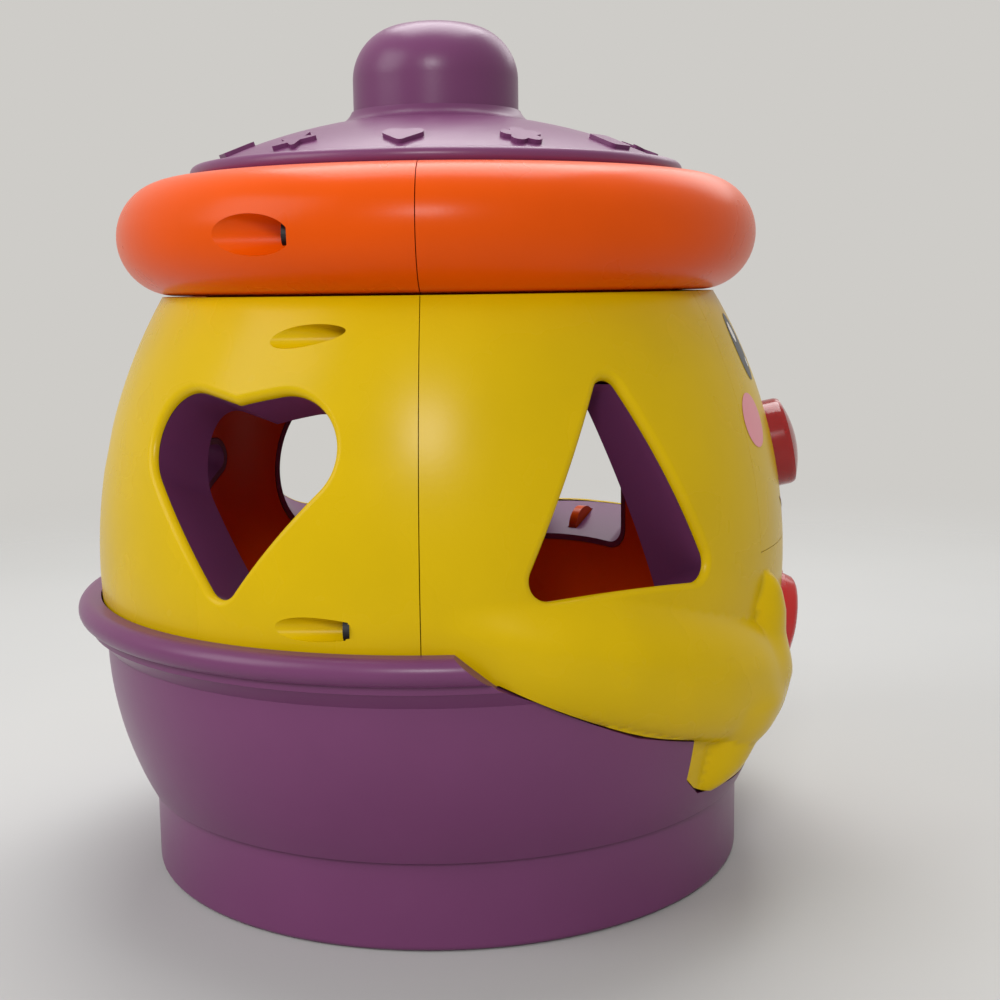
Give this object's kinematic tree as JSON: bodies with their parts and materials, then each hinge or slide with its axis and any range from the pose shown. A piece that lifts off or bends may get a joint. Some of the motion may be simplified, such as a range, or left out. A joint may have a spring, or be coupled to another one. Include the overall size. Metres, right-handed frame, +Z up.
{
  "type": "shape sorter cookie jar",
  "caption": "Round plastic shape sorter cookie jar with shaped side holes, trigger fins, a lift-off knob lid, moulded arms, a light-up nose and a heart button.",
  "frame": {"origin": "middle of the foot, on the floor", "axes": "+Z up, the face towards -Y, +X to the right as seen from the front"},
  "size_m": [0.222, 0.2208, 0.2499],
  "materials": {
    "yellow_plastic": "gloss",
    "orange_plastic": "gloss",
    "purple_plastic": "gloss",
    "red_clear_plastic": "translucent gloss",
    "red_plastic": "gloss",
    "black_plastic": "matte",
    "steel": "bright",
    "board": "satin",
    "components": "matte",
    "silicone": "matte",
    "lamp": "clear gloss",
    "cell_can": "gloss",
    "speaker_frame": "matte"
  },
  "bodies": {
    "jar": {"base_bowl": "purple_plastic", "base_plate": "purple_plastic", "base_screws": "steel", "battery_box": "black_plastic", "batteries": "cell_can", "battery_contacts": "steel", "battery_door": "purple_plastic", "battery_door_screw": "steel", "main_board": "board", "board_components": "components", "speaker": "speaker_frame", "power_switch_body": "black_plastic", "body_shell_front": "yellow_plastic", "body_shell_rear": "yellow_plastic", "body_screws": "steel", "face_panel": "yellow_plastic", "ring_front": "orange_plastic", "ring_rear": "orange_plastic", "ring_screws": "steel", "inner_liner": "orange_plastic", "sleeve_triangle": "purple_plastic", "sleeve_heart": "purple_plastic", "sleeve_star": "purple_plastic", "sleeve_circle": "purple_plastic", "sleeve_square": "purple_plastic", "trigger_boards": "board", "trigger_domes": "silicone", "nose_board": "board", "nose_lamp": "lamp", "nose_domes": "silicone", "heart_board": "board", "heart_domes": "silicone"},
    "lid": {"lid_shell": "purple_plastic", "lid_plug": "purple_plastic", "lid_knob": "purple_plastic", "lid_screw": "steel"},
    "nose": {"nose_button": "red_clear_plastic"},
    "heart": {"heart_button": "red_plastic"},
    "power_knob": {"power_switch_knob": "orange_plastic"},
    "fin_triangle": {"trigger_triangle": "orange_plastic"},
    "fin_heart": {"trigger_heart": "orange_plastic"},
    "fin_star": {"trigger_star": "orange_plastic"},
    "fin_circle": {"trigger_circle": "orange_plastic"},
    "fin_square": {"trigger_square": "orange_plastic"}
  },
  "joints": [
    {"name": "lid_lift", "type": "slide", "parent": "jar", "child": "lid", "axis": [0, 0, 1], "range_m": [0, 0.08]},
    {"name": "nose_press", "type": "slide", "parent": "jar", "child": "nose", "axis": [0, 0.9794, -0.202], "range_m": [0, 0.0025], "stiffness_N_per_m": 400, "deforming": ["nose_domes"]},
    {"name": "heart_press", "type": "slide", "parent": "jar", "child": "heart", "axis": [0, 0.9925, 0.1219], "range_m": [0, 0.0025], "stiffness_N_per_m": 400, "deforming": ["heart_domes"]},
    {"name": "triangle_trigger", "type": "slide", "parent": "jar", "child": "fin_triangle", "axis": [-0.3314, -0.1913, -0.9239], "range_m": [0, 0.0036], "stiffness_N_per_m": 150, "deforming": ["trigger_domes"]},
    {"name": "heart_trigger", "type": "slide", "parent": "jar", "child": "fin_heart", "axis": [-0.3314, 0.1913, -0.9239], "range_m": [0, 0.0036], "stiffness_N_per_m": 150, "deforming": ["trigger_domes"]},
    {"name": "star_trigger", "type": "slide", "parent": "jar", "child": "fin_star", "axis": [0, 0.3827, -0.9239], "range_m": [0, 0.0036], "stiffness_N_per_m": 150, "deforming": ["trigger_domes"]},
    {"name": "circle_trigger", "type": "slide", "parent": "jar", "child": "fin_circle", "axis": [0.3314, 0.1913, -0.9239], "range_m": [0, 0.0036], "stiffness_N_per_m": 150, "deforming": ["trigger_domes"]},
    {"name": "square_trigger", "type": "slide", "parent": "jar", "child": "fin_square", "axis": [0.3314, -0.1913, -0.9239], "range_m": [0, 0.0036], "stiffness_N_per_m": 150, "deforming": ["trigger_domes"]},
    {"name": "power_slide", "type": "slide", "parent": "jar", "child": "power_knob", "axis": [1, 0, 0], "range_m": [0, 0.005]}
  ]
}
